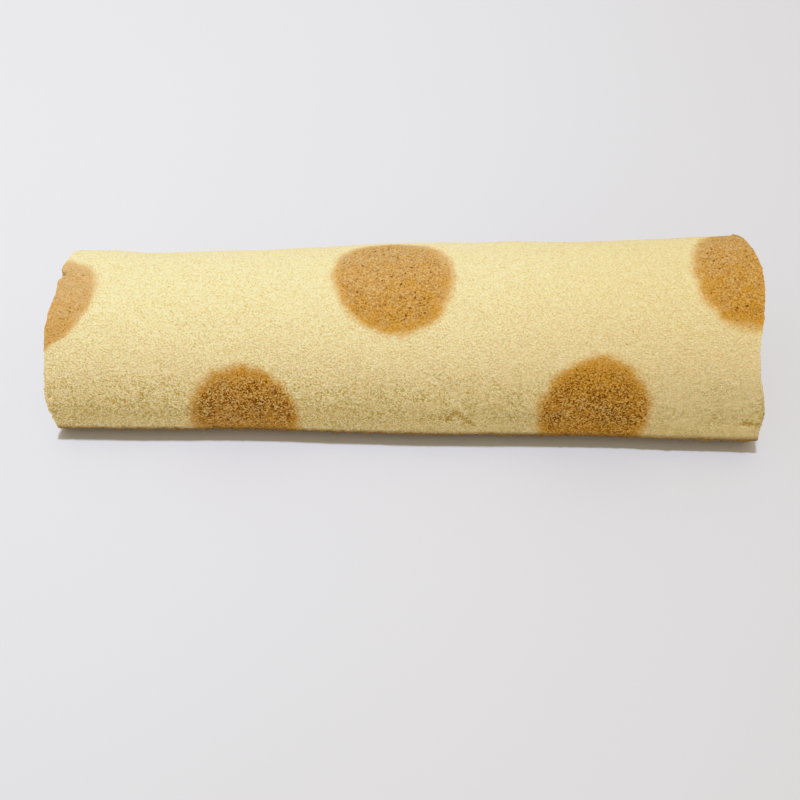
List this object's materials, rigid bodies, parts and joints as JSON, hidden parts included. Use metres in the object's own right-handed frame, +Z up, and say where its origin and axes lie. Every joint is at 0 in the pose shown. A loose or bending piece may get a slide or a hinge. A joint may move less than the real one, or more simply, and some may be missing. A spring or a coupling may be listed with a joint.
{
  "type": "swiss roll cake",
  "caption": "Whole log-shaped rolled sponge cake with soft brown dots, lying on its flattened base; trimmed ends show the rolled layers.",
  "frame": {"origin": "bottom centre of the roll's bounding box, on the surface that it rests on", "axes": "+X along the roll towards its thicker end, -Y the front, +Z up"},
  "size_m": [0.2864, 0.082, 0.0688],
  "materials": {
    "sponge": null
  },
  "bodies": {
    "root": {"sponge_roll": "sponge"}
  },
  "joints": []
}
